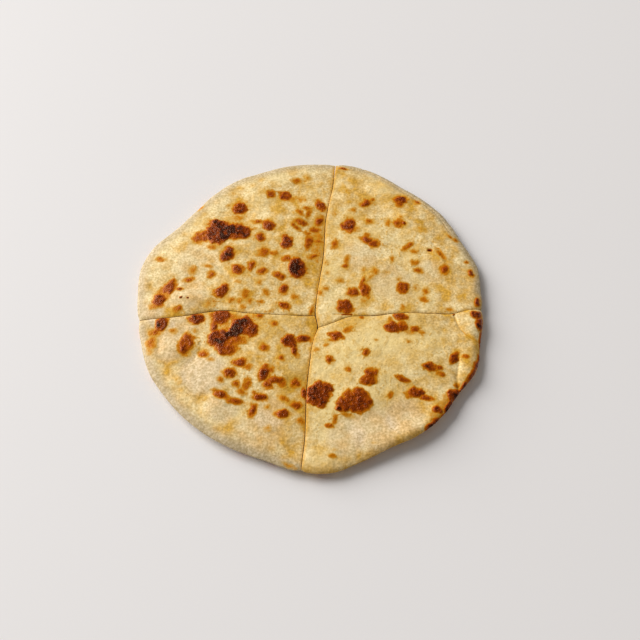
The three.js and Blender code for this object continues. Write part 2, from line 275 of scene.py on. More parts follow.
cut_crumb = add_node(tree, "ShaderNodeMix", {"Factor": crumb, "A": baked.outputs["Result"]},
                     data_type="RGBA", B=colour(CRUMB_GOLD))
tree.links.new(cut_crumb.outputs["Result"], skin.inputs["Base Color"])

# Butter leaves a soft gloss that the grain breaks up. Scorched skin is smoother and shines more.
gloss = add_node(tree, "ShaderNodeMapRange", {"Value": grain.outputs["Fac"]},
                 From_Min=NOISE_SPAN[0], From_Max=NOISE_SPAN[1],
                 To_Min=CRUST_ROUGHNESS[0], To_Max=CRUST_ROUGHNESS[1])
shine = add_node(tree, "ShaderNodeMath", {0: toast.outputs[0], 2: gloss.outputs[0]},
                 operation="MULTIPLY_ADD", use_clamp=True)
shine.inputs[1].default_value = SCORCH_SMOOTHER
tree.links.new(shine.outputs[0], skin.inputs["Roughness"])
skin.inputs["IOR"].default_value = CRUST_IOR
skin.inputs["Specular IOR Level"].default_value = CRUST_SPECULAR
skin.inputs["Specular Tint"].default_value = colour(BUTTER_TINT)

# Relief finer than the mesh: a flour grain of 0.9 mm, and wrinkles of 1.3 mm on scorched skin.
flour = add_node(tree, "ShaderNodeTexNoise", {"Vector": place}, Scale=1 / (FLOUR_SIZE * MM),
                 Detail=2.0, Roughness=0.5)
wrinkles = add_node(tree, "ShaderNodeTexNoise", {"Vector": place}, Scale=1 / (WRINKLE_SIZE * MM),
                    Detail=1.0, Distortion=1.2)
wrinkle_height = add_node(tree, "ShaderNodeMath", {0: wrinkles.outputs["Fac"], 1: toast.outputs[0]},
                          operation="MULTIPLY")
wrinkle_relief = add_node(tree, "ShaderNodeBump", {"Height": wrinkle_height.outputs[0]},
                          Strength=1.0, Distance=WRINKLE_HEIGHT * MM)
relief = add_node(tree, "ShaderNodeBump", {"Height": flour.outputs["Fac"],
                                           "Normal": wrinkle_relief.outputs["Normal"]},
                  Strength=1.0, Distance=FLOUR_HEIGHT * MM)
tree.links.new(relief.outputs["Normal"], skin.inputs["Normal"])


# ---- Quarter at the back left ----------------------------------------------------------------------
# The largest quarter of the dough. The dough was patted flat by hand and slapped on the hot oven
# wall, so blisters rose and scorched; then a knife cut the bread through.

# Fine mesh, in mm: how close points are welded, the squares of the flat underside, and the rounding
# of the facets. An edge stays sharp where the knife left a nearly upright face and a sharp turn.
WELD = 0.01
SLICE_WELD = 0.05
FLAT_DOWN = -0.99
UNDERSIDE_STEP = 16.0
UNDERSIDE_SLICES = range(-6, 7)
FACET_JOIN = math.radians(40.0)
FACET_SKEW = math.radians(70.0)
ROUNDING = 3
CUT_FACE_LEAN = 0.25
KNIFE_TURN = math.radians(55.0)

# Where a point lies, in mm: how far the cuts are looked for, and which points are the rim's lip.
CUT_REACH = 4.0
LIP_CLEAR_OF_CUT = 3.0
LIP_LEAN = 0.3
LIP_STRIDE = 8

# Ranges of a normal's height, or of a distance in mm, over which a place turns into another.
TURNS_UP = (0.15, 0.6)
TURNS_DOWN = (0.3, 0.8)
CUT_FACE_REACH = (1.3, 0.7)
CUT_FACE_TURN = (0.75, 0.4)
CLEAR_OF_CUT = (1.0, 3.0)
RIM_TURN = (0.94, 0.5)
KNIFE_EDGE_TURN = (0.9, 0.5)
KNIFE_EDGE_WIDTH = 1.6

# Outlines of marks and patches wander by up to WAVER mm, and a mark's edge is ragged besides: (width
# of the bumps, height, number of the pattern). A mark narrower than WAVER_WIDTH wanders less.
WAVER = 1.2
WAVER_SIZE = 4.0
WAVER_WIDTH = 6.0
RAGGED = ((2.2, 0.9, 1), (1.1, 0.4, 3))
RAGGED_LEAST = 0.3
RAGGED_WIDTH = 12.0

# Scorched marks: the browning deepens over the edge and the slope, in mm, a fringe and a fainter halo
# surround it, and the scorched skin stands a little higher.
MARK_EDGE = 1.2
MARK_EDGE_LEAST = 0.5
MARK_EDGE_GROWTH = 0.08
MARK_SLOPE = 2.2
MARK_FULLNESS = 1.8
MARK_MOTTLE = (2.0, 0.35)
FRINGE = 0.36
FRINGE_REACH = (-2.3, 0.3)
HALO = 0.17
HALO_REACH = (-5.0, -0.5)
SCORCHED = (0.45, 0.85)
SCORCH_RISE = 0.22
SCORCH_BUBBLES = (1.6, 0.15)
SCORCH_WRINKLES = (1.2, 0.12)

# Freckles and specks of browning: width and width of their crowds in mm, the noise levels between
# which they show, their browning, how much more they have near a mark, and number of the pattern.
# There are fewer of them on pale skin and near the rim.
FRECKLES = (2.6, 17.0, 0.2, 0.5, 0.14, 0.45, 12)
SPECKS = (1.4, 9.0, 0.27, 0.55, 0.17, 0.7, 15)
CROWDING = 0.3
NEAR_MARK_MOST = 0.4
CALM = 0.95
CALM_ON_PALE = 1.5
CALM_AT_RIM = 0.8
CALM_RIM_WIDTH = (14.0, 5.0)

# The rim's toasting, in patches and partly painted shade; painted shade on its lower part, darker towards
# the bottom; and the spotted underside.
RIM_PATCHES = (5.0, 0.9, 0.6)
FOOT_HEIGHT = (3.5, 1.5)
FOOT_SHADE = 0.2
UNDERSIDE_TOAST = 0.5
UNDERSIDE_PATCH = 6.0
UNDERSIDE_LEVELS = (0.1, 0.5)

# How golden the dough is: everywhere, at the rim and beside the cuts. The gold at the rim and beside
# the cuts is partly painted shade.
GOLD_LEVEL = 0.38
GOLD_AND_SHADE_AT_RIM = 0.3
GOLD_RIM_TURN = (0.96, 0.5)
GOLD_AND_SHADE_AT_CUT = 0.4
GOLD_CUT_WIDTH = 1.0
# Painted tan shade covers the rim over a few mm, and the knife's edges.
RIM_SHADING_WIDTH = (7.0, 1.0)
KNIFE_EDGE_SHADING = 0.9
PALE_EDGE = (1.2, 0.7)

# Relief of the skin, as (width of the bumps, height, number of the pattern) in mm, with round bubbles
# too. The rim's side has less of it, and the crumb of a cut face has small pits instead.
SKIN_BUMPS = ((9.0, 0.22, 4), (4.5, 0.12, 5), (2.4, 0.05, 6))
SKIN_BUBBLES = (2.8, 0.05)
SIDE_RELIEF = 0.6
CRUMB_PITS = (1.2, 0.15)
HIGHEST = 9.3
STORED_RANGE = (-1.0, 1.2)

# How the noise is shifted from one pattern to the next, and the share of a cell that a bubble fills.
BUMP_SHIFT = (17.3, 5.1, 11.7)
BUBBLE_SHIFT = (3.7, 9.1, 2.3)
BUBBLE_RADIUS = 0.6

# Scorched marks as (x, y, length, width, turn in degrees, depth of browning), in mm from the middle.
BACK_LEFT_MARKS = [
    (-52, 39, 13, 14, 0, 0.9), (-52, 44.5, 11, 6, -10, 1.05), (-48, 39, 14, 6, 75, 1.12),
    (-51.5, 34, 8, 5, 20, 1.0), (-57.5, 36.5, 8, 8, 0, 0.62), (-62, 35.5, 8, 6, 80, 0.6),
    (-43, 37.5, 7, 5, 0, 0.85), (-45, 41.5, 8, 8, 0, 1.12), (-40, 41, 12, 9, -10, 0.95),
    (-40, 37.5, 7, 4, 10, 0.8), (-34, 42.5, 4, 2, 20, 0.42), (-54, 29, 5, 3, 0, 0.45),
    (-42, 57, 7, 8, 0, 0.9), (-42, 50, 8, 5, 0, 0.3), (-26, 68, 6, 4, 105, 0.65),
    (-18, 68, 7, 6, -20, 0.8), (-14, 66, 5, 4, 0, 0.3), (-12, 79, 6, 4, 0, 0.45),
    (-7, 82, 4, 4, 0, 0.3), (-9, 66, 4, 4, 0, 0.35), (-5, 60, 4, 3, 0, 0.5), (-4, 56, 5, 3, 80, 0.55),
    (-9, 57, 5, 3, -45, 0.55), (-8, 50, 7, 4, -15, 0.7), (-25, 46, 7, 6, -10, 0.85),
    (-31, 48, 7, 3, 0, 0.5), (-12, 48, 3, 3, 0, 0.55), (-10, 46, 5, 3, -35, 0.6),
    (-29, 38, 5, 5, 0, 0.8), (-45, 25, 10, 6, 70, 0.95), (-15, 36, 9, 6, 80, 0.9),
    (2, 63, 8, 5, -65, 0.75), (1.5, 38, 26, 7, 88, 0.27), (2, 52, 14, 6, 85, 0.2),
    (2, 52, 7, 4, 60, 0.75), (0, 46, 6, 4, 20, 0.65), (-3, 37, 9, 4, 80, 0.65), (-4, 43, 4, 3, 0, 0.5),
    (0, 28, 6, 3, 20, 0.55), (2, 38, 7, 3, 0, 0.5), (-26, 28, 7, 6, 35, 0.5), (-21, 28, 5, 3, 0, 0.55),
    (-14, 25, 5, 4, 0, 0.65), (-8, 20, 13, 9, -75, 1.08), (-32, 19, 6, 4, 75, 0.72),
    (-39, 16, 6, 6, 0, 0.85), (-26, 16, 5, 4, 20, 0.6), (-17, 14, 7, 4, -25, 0.65),
    (-62, 14, 5, 4, 80, 0.4), (-55, 17, 5, 2, -15, 0.4), (-52, 12, 4, 4, 0, 0.6),
    (-64, 8, 6, 3, 15, 0.6), (-80, 20, 3, 4, 80, 0.55), (-73, 3, 10, 6, 70, 0.75),
    (-77, -5, 8, 6, 75, 0.85), (-80, -9, 4, 3, 0, 0.4), (-76, -2, 12, 7, 70, 0.4),
    (-68, 2, 3, 1.5, 0, 0.8), (-67, -10, 4, 4, 0, 0.6), (-46, 2, 9, 6, 55, 0.9),
    (-14, 6, 7, 4, 70, 0.85), (-8, 2, 4, 3, 0, 0.45), (-33, 1, 6, 5, 0, 0.45), (-36, -3, 3, 3, 0, 0.5),
    (-31, -3, 3, 3, 0, 0.45), (-34, -7, 4, 3, 80, 0.35), (-23, 3, 4, 4, 0, 0.4),
    (-13, -4, 6, 4, -15, 0.75), (-40, -3, 3, 3, 0, 0.4), (-51, -6, 6, 5, 30, 0.3),
    (-25, -3, 3, 3, 0, 0.4), (-27, 9, 3, 3, 0, 0.35), (-38, 8, 3, 2, 0, 0.35),
    (-63, 56, 3, 1.5, 50, 0.4), (-20, -8, 4, 2, 30, 0.35), (1, -6, 6, 2, 80, 0.5),
    (-47, 67, 3, 2, 0, 0.25), (-48, 58, 2, 2, 0, 0.3),
]
# Golden places, light places and pale places of thin skin, each as (x, y, reach, strength). Light places
# are partly painted light on slopes that face the lamp, golden and pale places partly painted shade on
# slopes turned from it.
BACK_LEFT_GOLD = [
    (1.5, 36, 6, 1.2), (1, 47, 6, 0.6), (2, 60, 5, 0.3), (-18, 63, 7, 0.6), (-32, 62, 8, -0.3),
    (-9, 11, 7, -0.25), (-3, 77, 7, -0.3), (-46, 67, 8, -0.2), (-27, 30, 10, 0.3), (-42, 53, 8, 0.35),
    (-44, 0, 8, -0.5), (-22, -3, 7, 0.4), (-6, 2, 8, 0.4), (-47, 20, 7, -0.5), (-38, 68, 6, 0.2),
    (-57, -4, 6, 0.5), (-56, 5, 5, -0.3), (-44, 12, 6, 0.5), (-68, 22, 6, 0.3), (-9, 70, 6, 0.4),
    (-76, -4, 7, 0.4), (-64, 45, 8, -0.4), (-75, 27, 9, -0.5), (-28, 42, 7, -0.5), (-55, 58, 8, -0.3),
    (-12, 42, 5, -0.25), (-9, 36, 5, -0.3), (-72, 18, 9, -0.25), (-42, 21, 5, -0.3), (-12, 80, 8, 0.2),
]
BACK_LEFT_LIGHT = [
    (-11, 36, 5, 0.4), (-63, 47, 6, 0.4), (-30, 63, 8, 0.4), (-10, 43, 5, 0.4), (-3, 72, 5, 0.3),
    (-22, 80, 6, 0.3),
]
BACK_LEFT_PALE = [(-80, -12, 6, 0.6), (-64, 0, 11, 0.4), (-60, 20, 12, 0.3)]
# The long cut's line, seen from above. The dough browned a little on both sides of it, and painted shade
# darkens it there too.
LONG_CUT_BACK = [
    (5.0, -15), (4.4, -11), (3.1, -6), (4.0, 12), (5.4, 30), (5.3, 53), (6.4, 66), (7.8, 77), (8.7, 93),
]
LONG_CUT_FRONT = [
    (1.6, -94), (2.1, -84), (2.5, -74), (1.7, -54), (1.7, -46), (2.3, -34), (2.7, -26), (3.8, -20),
    (5.0, -15),
]
# Creases as (width, depth, depth of browning, points), in mm. The browning is partly painted shade in the
# fold. A depth of 0 only browns the skin, and a very short crease is a pore.
BACK_LEFT_CREASES = [
    (2.4, 0.0, 0.16, LONG_CUT_BACK),
    (1.2, 0.3, 0.1, [(-60, 26), (-52, 20), (-46, 14), (-41, 9)]),
    (0.45, 0.5, 2.5, [(-66.7, -3.4), (-66.2, -3.4)]),
    (0.35, 0.5, 2.2, [(-63, -3.5), (-62.7, -3.5)]),
]


def smooth_step(low, high, value):
    """Rises softly from 0 at low to 1 at high, or falls softly where high is the smaller."""
    t = np.clip((value - low) / (high - low), 0.0, 1.0)
    return t * t * (3.0 - 2.0 * t)


def unevenness(points, size, seed):
    """Soft random unevenness between -1 and 1, of bumps as wide as size, at each point."""
    shift = Vector([seed * step for step in BUMP_SHIFT])
    return np.array([noise.noise(Vector(p) / size + shift) for p in points])


def bubbles(points, size, seed):
    """Round bubbles as wide as size: 1 at a bubble's top and 0 between two."""
    shift = Vector([seed * step for step in BUBBLE_SHIFT])
    nearest = np.array([noise.voronoi(Vector(p) / size + shift)[0][0] for p in points])
    return np.clip(1.0 - (nearest / BUBBLE_RADIUS) ** 2, 0.0, 1.0)


def line_distance(points, line):
    """Distance in plan from each point to a line of (x, y) points."""
    nearest = np.full(len(points), np.inf)
    for (x0, y0), (x1, y1) in zip(line, line[1:]):
        along = np.array((x1 - x0, y1 - y0))
        offset = points[:, :2] - (x0, y0)
        t = np.clip(offset @ along / (along @ along), 0.0, 1.0)
        gap = np.linalg.norm(offset - t[:, None] * along, axis=1)
        nearest = np.minimum(nearest, gap)
    return nearest


def underside(shape):
    """The faces that the bread lies on."""
    return [face for face in shape.faces
            if face.normal.z < FLAT_DOWN and max(corner.co.z for corner in face.verts) < WELD * MM]


def fine_skin(node_name):
    """Copies one dough solid, rounds its facets off and keeps the edges that the knife left."""
    shape = bmesh.new()
    shape.from_mesh(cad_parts[node_name].data)
    bmesh.ops.remove_doubles(shape, verts=shape.verts, dist=WELD * MM)
    bmesh.ops.dissolve_faces(shape, faces=underside(shape), use_verts=False)
    bmesh.ops.join_triangles(shape, faces=shape.faces, angle_face_threshold=FACET_JOIN,
                             angle_shape_threshold=FACET_SKEW)
    for across in (Vector((1, 0, 0)), Vector((0, 1, 0))):
        for step in UNDERSIDE_SLICES:
            faces = underside(shape)
            edges = {edge for face in faces for edge in face.edges}
            corners = {corner for face in faces for corner in face.verts}
            bmesh.ops.bisect_plane(shape, geom=[*faces, *edges, *corners], dist=SLICE_WELD * MM,
                                   plane_co=across * step * UNDERSIDE_STEP * MM, plane_no=across)
    crease = shape.edges.layers.float.new("crease_edge")
    for edge in shape.edges:
        beside_cut = any(abs(face.normal.z) < CUT_FACE_LEAN for face in edge.link_faces)
        if beside_cut and edge.calc_face_angle(0.0) > KNIFE_TURN:
            edge[crease] = 1.0
    rough_mesh = bpy.data.meshes.new(node_name + "_rough")
    shape.to_mesh(rough_mesh)
    shape.free()
    rough = bpy.data.objects.new(node_name + "_rough", rough_mesh)
    bpy.context.scene.collection.objects.link(rough)
    rounder = rough.modifiers.new("round_facets", "SUBSURF")
    rounder.levels = ROUNDING
    rounder.render_levels = ROUNDING
    fine = rough.evaluated_get(bpy.context.evaluated_depsgraph_get())
    mesh = bpy.data.meshes.new_from_object(fine)
    mesh.name = node_name + "_skin"
    bpy.data.objects.remove(rough)
    bpy.data.meshes.remove(rough_mesh)
    return mesh


def mesh_points(mesh):
    """The mesh's points and normals, the points in mm."""
    points = np.empty(len(mesh.vertices) * 3, dtype=np.float32)
    mesh.vertices.foreach_get("co", points)
    normals = np.empty(len(mesh.vertices) * 3, dtype=np.float32)
    mesh.vertices.foreach_get("normal", normals)
    return points.reshape(-1, 3).astype(float) / MM, normals.reshape(-1, 3).astype(float)


skins = {name: fine_skin(name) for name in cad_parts}
solids = {}
for name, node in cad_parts.items():
    solid = bmesh.new()
    solid.from_mesh(node.data)
    solids[name] = bvhtree.BVHTree.FromBMesh(solid)
    solid.free()


def distance_to_others(name, points):
    """How far each point of a quarter is from the nearest of the other quarters, up to 4 mm."""
    near = np.full(len(points), CUT_REACH)
    for index, point in enumerate(points):
        for other, solid in solids.items():
            if other != name:
                gap = solid.find_nearest(Vector(point) * MM, near[index] * MM)[3]
                if gap is not None:
                    near[index] = gap / MM
    return near


def distance_to_rim(points, normals, to_cut):
    """How far each point is from the rim's outermost line, in plan."""
    lip = points[(np.abs(normals[:, 2]) < LIP_LEAN) & (to_cut > LIP_CLEAR_OF_CUT), :2]
    nearest = np.full(len(points), np.inf)
    for x, y in lip[::LIP_STRIDE]:
        nearest = np.minimum(nearest, np.hypot(points[:, 0] - x, points[:, 1] - y))
    return nearest


def pale_and_shaded_skin(points, places, waver_x, waver_y):
    """How pale the skin is at each point: thin skin over blisters, and painted shade on some slopes."""
    pallor_and_shade = np.zeros(len(points))
    for x, y, reach, strength in places:
        away = np.hypot(points[:, 0] - x + waver_x, points[:, 1] - y + waver_y)
        pallor_and_shade += strength * smooth_step(reach * PALE_EDGE[0], reach * PALE_EDGE[1], away)
    return pallor_and_shade


def scorch(points, marks, glow, pallor_and_shade, waver_x, waver_y, ragged):
    """How deeply the scorched marks brown each point. Without glow there is half a fringe, no halo."""
    browned = np.zeros(len(points))
    for x, y, length, width, turn, depth in marks:
        angle = math.radians(turn)
        breadth = math.sqrt(length * width)
        dx = points[:, 0] - x + waver_x * min(1.0, width / WAVER_WIDTH)
        dy = points[:, 1] - y + waver_y * min(1.0, width / WAVER_WIDTH)
        along = (dx * math.cos(angle) + dy * math.sin(angle)) / (length / 2)
        across = (dy * math.cos(angle) - dx * math.sin(angle)) / (width / 2)
        inside = (1.0 - np.hypot(along, across)) * breadth / 2
        inside += ragged * min(1.0, RAGGED_LEAST + breadth / RAGGED_WIDTH)
        edge = min(MARK_EDGE, MARK_EDGE_LEAST + MARK_EDGE_GROWTH * breadth)
        slope = min(breadth / 2, MARK_SLOPE) + edge
        core = depth * (1.0 - (1.0 - np.clip((inside + edge) / slope, 0.0, 1.0)) ** MARK_FULLNESS)
        fringe = (0.5 + 0.5 * glow) * FRINGE * depth ** 0.5 * smooth_step(*FRINGE_REACH, inside)
        halo = glow * HALO * depth * smooth_step(*HALO_REACH, inside) * (1.0 - np.clip(pallor_and_shade, 0.0, 1.0))
        browned = np.maximum(browned, np.maximum(core, np.maximum(fringe, halo)))
    return browned


def speckle(points, browned, pallor_and_shade, to_rim, seed):
    """Adds freckles and specks to the browning, more of them beside the marks."""
    near_marks = np.minimum(browned, NEAR_MARK_MOST)
    pale_and_shade = np.clip(pallor_and_shade * CALM_ON_PALE, 0.0, 1.0)
    calm = 1.0 - CALM * np.maximum(pale_and_shade, CALM_AT_RIM * smooth_step(*CALM_RIM_WIDTH, to_rim))
    for width, crowd, low, high, toast, toast_near_marks, pattern in (FRECKLES, SPECKS):
        spots = unevenness(points, width, seed + pattern)
        spots += unevenness(points, crowd, seed + pattern + 1) * CROWDING
        spots = smooth_step(low, high, spots) * (toast + toast_near_marks * near_marks)
        browned = np.maximum(browned, calm * spots)
    return browned


def toast_and_shade_rim(points, normals, browned, to_cut, rim_toast_and_shade, seed):
    """Browns the rim in patches, partly as painted shade, and paints shade evenly on its lower part."""
    size, base, patchiness = RIM_PATCHES
    clear = smooth_step(*CLEAR_OF_CUT, to_cut)
    rim = smooth_step(*RIM_TURN, normals[:, 2]) * clear
    patches = base + unevenness(points, size, seed + 17) * patchiness
    # Painted shade on the rim's lower part, darker towards the bottom.
    foot_shade = FOOT_SHADE * smooth_step(*FOOT_HEIGHT, points[:, 2]) * clear
    return np.maximum(np.maximum(browned, rim_toast_and_shade * rim * patches), foot_shade)


def golden_and_shaded_dough(normals, to_cut, knife_edge):
    """How golden the plain dough is at each point, partly as painted shade at the tilted rim and beside
    the cuts.
    """
    golden_and_shade = GOLD_LEVEL + GOLD_AND_SHADE_AT_RIM * smooth_step(*GOLD_RIM_TURN, normals[:, 2])
    return golden_and_shade + GOLD_AND_SHADE_AT_CUT * np.exp(-(to_cut / GOLD_CUT_WIDTH) ** 2) * (1.0 - knife_edge)


def lifted_skin(points, browned, pressed, facing_up, facing_down, cut_face, seed):
    """How far the skin stands out of the plain dough at each point, in mm."""
    lift = np.zeros(len(points))
    for size, height, pattern in SKIN_BUMPS:
        lift += unevenness(points, size, seed + pattern) * height
    lift += bubbles(points, SKIN_BUBBLES[0], seed + 7) * SKIN_BUBBLES[1]
    scorch_lift = SCORCH_RISE + bubbles(points, SCORCH_BUBBLES[0], seed + 8) * SCORCH_BUBBLES[1]
    scorch_lift += unevenness(points, SCORCH_WRINKLES[0], seed + 18) * SCORCH_WRINKLES[1]
    lift += smooth_step(*SCORCHED, browned) * scorch_lift
    lift -= pressed
    lift *= facing_up + (1 - facing_up) * SIDE_RELIEF
    lift = np.where(facing_down > 0.5, -np.abs(lift), lift)
    pits = np.abs(unevenness(points, CRUMB_PITS[0], seed + 9)) * CRUMB_PITS[1]
    return lift * (1 - cut_face) - cut_face * pits


def bake_quarter(name, marks, gold_and_shade_places, light_and_painted_light_places, pale_and_shade_places, creases, rim_toast_and_shade,
                 rim_shading_share, glow, seed):
    """Bakes one quarter: presses its creases in, raises and scorches its blisters, and colours it."""
    mesh = skins[name]
    points, normals = mesh_points(mesh)
    to_cut = distance_to_others(name, points)
    to_rim = distance_to_rim(points, normals, to_cut)
    facing_up = smooth_step(*TURNS_UP, normals[:, 2])
    facing_down = smooth_step(*TURNS_DOWN, -normals[:, 2])
    cut_face = smooth_step(*CUT_FACE_REACH, to_cut) * smooth_step(*CUT_FACE_TURN, np.abs(normals[:, 2]))
    knife_edge = smooth_step(*KNIFE_EDGE_TURN, normals[:, 2]) * np.exp(-(to_cut / KNIFE_EDGE_WIDTH) ** 2)

    waver_x = unevenness(points, WAVER_SIZE, seed) * WAVER
    waver_y = unevenness(points, WAVER_SIZE, seed + 2) * WAVER
    ragged = sum(unevenness(points, size, seed + pattern) * height for size, height, pattern in RAGGED)
    pallor_and_shade = pale_and_shaded_skin(points, pale_and_shade_places, waver_x, waver_y)
    browned = scorch(points, marks, glow, pallor_and_shade, waver_x, waver_y, ragged)
    browned *= 1.0 + unevenness(points, MARK_MOTTLE[0], seed + 11) * MARK_MOTTLE[1]
    browned = speckle(points, browned, pallor_and_shade, to_rim, seed)
    browned = toast_and_shade_rim(points, normals, browned, to_cut, rim_toast_and_shade, seed)
    pressed = np.zeros(len(points))
    # A crease's browning is partly painted shade in its fold.
    for width, depth, toast, line in creases:
        fold = np.exp(-(line_distance(points, line) / width) ** 2)
        if depth == 0:
            fold *= 1.0 - knife_edge
        pressed = np.maximum(pressed, depth * fold)
        browned = np.maximum(browned, toast * fold)
    spotted = smooth_step(*UNDERSIDE_LEVELS, unevenness(points, UNDERSIDE_PATCH, seed + 14))
    browned = browned * (1 - facing_down) + facing_down * UNDERSIDE_TOAST * spotted

    golden_and_shade = golden_and_shaded_dough(normals, to_cut, knife_edge)
    light_and_painted_light = np.zeros(len(points))
    # The places' gold is partly painted shade, and their lightness partly painted light.
    for colour_amount, places in ((golden_and_shade, gold_and_shade_places), (light_and_painted_light, light_and_painted_light_places)):
        for x, y, reach, strength in places:
            away = np.hypot(points[:, 0] - x + waver_x, points[:, 1] - y + waver_y)
            colour_amount += strength * np.exp(-(away / reach) ** 2)
    # Painted tan shade on the rim and on the knife's edges.
    rim_shading = np.maximum(rim_shading_share * smooth_step(*RIM_SHADING_WIDTH, to_rim), KNIFE_EDGE_SHADING * knife_edge)

    lift = lifted_skin(points, browned, pressed, facing_up, facing_down, cut_face, seed)
    moved = points + normals * lift[:, None]
    moved[:, 2] = np.clip(moved[:, 2], 0.0, HIGHEST)
    mesh.vertices.foreach_set("co", (moved * MM).astype(np.float32).ravel())
    mesh.update()
    for label, values in (("browning_and_shade", browned), ("gold_and_shade", golden_and_shade), ("light", light_and_painted_light), ("pale_and_shade", pallor_and_shade),
                          ("crumb", cut_face), ("shaded_tan_rim", rim_shading)):
        layer = mesh.attributes.new(label, "FLOAT", "POINT")
        layer.data.foreach_set("value", np.clip(values, *STORED_RANGE).astype(np.float32))
    mesh.polygons.foreach_set("use_smooth", [True] * len(mesh.polygons))
    mesh.materials.clear()
    mesh.materials.append(crust)
    piece = bpy.data.objects.new("baked_" + name, mesh)
    bpy.context.scene.collection.objects.link(piece)
    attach(piece, "root")
    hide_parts(name)


bake_quarter("quarter_back_left", BACK_LEFT_MARKS, BACK_LEFT_GOLD, BACK_LEFT_LIGHT, BACK_LEFT_PALE,
             BACK_LEFT_CREASES, rim_toast_and_shade=0.06, rim_shading_share=1.0, glow=1.2, seed=1)


# ---- Quarter at the back right ---------------------------------------------------------------------
# The palest quarter, of the same dough. Its tip runs between the left and the right cut, and its rim
# was folded over a little at the back, which left a seam.

BACK_RIGHT_MARKS = [
    (18, 50, 9, 7, 80, 0.82), (21, 48, 6, 5, 0, 0.35), (27, 66, 6, 5, 30, 0.8), (30, 69, 3, 2, 20, 0.5),
    (20, 61, 4, 3, 0, 0.4), (17, 74, 3, 3, 0, 0.2), (13, 90, 4, 1.5, 0, 0.7), (46, 71, 7, 4, 0, 0.9),
    (45, 68, 5, 5, 0, 0.5), (55, 70, 4, 3, -30, 0.5), (45, 54, 5, 5, 80, 0.62),
    (48, 54, 1.5, 1.5, 0, 0.8), (46, 58, 2, 2, 0, 0.4), (29, 54, 4, 4, 80, 0.5),
    (39, 54, 4, 3, 80, 0.45), (28, 41, 6, 5, 0, 0.75), (32, 39, 5, 5, -20, 0.75),
    (28, 44, 3, 3, 0, 0.5), (11, 37, 7, 4, 85, 0.55), (10, 58, 3, 3, 0, 0.25), (57, 51, 5, 3, 0, 0.25),
    (50, 39, 7, 3, 50, 0.6), (54, 36, 4, 3, -20, 0.45), (68, 36, 8, 3, -55, 0.5),
    (70, 26, 6, 4, 80, 0.7), (18, 27, 6, 3, 75, 0.45), (17, 23, 3, 3, 0, 0.6), (42, 30, 5, 2, 85, 0.35),
    (54, 29, 4, 3, 0, 0.5), (56, 24, 4, 3, 0, 0.5), (33, 21, 4, 4, 0, 0.4), (31, 17, 7, 2, 50, 0.3),
    (27, 21, 3, 2, 80, 0.3), (27, 15, 4, 2, 75, 0.6), (28, 9, 9, 5, -75, 0.75), (22, 7, 6, 5, 0, 0.75),
    (28, 2, 3, 3, 0, 0.3), (18.5, -2.5, 8, 7.5, 0, 0.82), (48, 12, 8, 6, 75, 0.7),
    (46, 17, 3, 3, 0, 0.3), (55, 13, 3, 3, 0, 0.3), (60, 11, 3, 4, 0, 0.5), (59, 6, 4, 3, 0, 0.5),
    (48, 0, 3, 2, 90, 0.4), (8, 18, 2, 2, 0, 0.3), (15, 14, 4, 3, 80, 0.35), (8, 8, 3, 3, 0, 0.4),
    (5, 5, 4, 3, 0, 0.35), (7, 24, 3, 3, 0, 0.25), (84, 25, 4, 2.5, -70, 0.95),
    (82, 32, 2, 1.5, 0, 0.5), (87, 7, 5, 2.5, 85, 0.95), (73, 48, 3, 1.5, -30, 0.45),
    (76, 46, 3, 2, -40, 0.5), (73, 1, 4, 2.5, 0, 0.35), (39, 21, 3, 2, 0, 0.25),
]
BACK_RIGHT_GOLD = [
    (30, 79, 9, -0.3), (22, 74, 9, 0.6), (24, 87, 6, 0.5), (24, 55, 6, -0.3), (43, 70, 7, 0.8),
    (63, 58, 9, 0.2), (71, 24, 9, 0.7), (72, 12, 7, 0.35), (86, 14, 6, 0.5), (46, 3, 7, -0.3),
    (33, 20, 6, 0.2), (29, 17, 5, 0.4), (47, 31, 6, 0.25), (64, 1, 7, 0.15), (67, 50, 7, 0.4),
    (66, 36, 7, 0.3), (44, 23, 7, 0.35), (33, 46, 6, -0.5), (71, 17, 6, 0.6), (32, 14, 5, 0.3),
    (47, 35, 6, 0.3), (22, 65, 5, 0.3), (60, 28, 5, -0.3), (24, 3, 6, -0.3), (12, -5, 6, -0.5),
    (8, 45, 5, 0.2), (38, 55, 6, 0.2),
]
BACK_RIGHT_LIGHT = [
    (12, 20, 6, 0.4), (12, -5, 5, 0.5), (24, 5, 6, 0.3), (10, 47, 6, 0.4), (54, 20, 9, 0.4),
    (14, 32, 6, 0.4), (30, 12, 9, 0.3), (36, 78, 9, 0.5), (19, 56, 6, 0.4), (31, 47, 6, 0.4),
    (9, 22, 6, 0.5), (9, 6, 6, 0.4), (22, 3, 6, 0.3), (45, 42, 10, 0.35), (52, 33, 6, 0.4),
    (42, 9, 7, 0.4), (60, 6, 7, 0.4), (8, 80, 8, 0.3), (22, 40, 6, 0.3),
]
BACK_RIGHT_PALE = [(42, 15, 12, 0.35), (24, 30, 10, 0.3), (62, 24, 8, 0.3)]
BACK_RIGHT_CREASES = [
    (1.9, 0.0, 0.24, LONG_CUT_BACK),
    (0.5, 0.5, 0.16, [(24, 92), (35, 85), (46, 78), (56, 71), (64, 65)]),
    (0.5, 0.25, 0.1, [(64, 65), (69, 58), (73, 51)]),
    (0.9, 0.3, 0.1, [(18, 91), (33, 82), (46, 74), (55, 67)]),
    (0.8, 1.2, 1.2, [(61.6, 37.8), (62.6, 37.8)]),
    (0.4, 0.3, 0.3, [(13, -7.4), (17, -7.2)]),
    (0.4, 0.4, 0.9, [(17, -7.2), (22, -6.7)]),
    (1.0, 0.25, 0.1, [(52, 52), (60, 47), (66, 40), (71, 31)]),
]
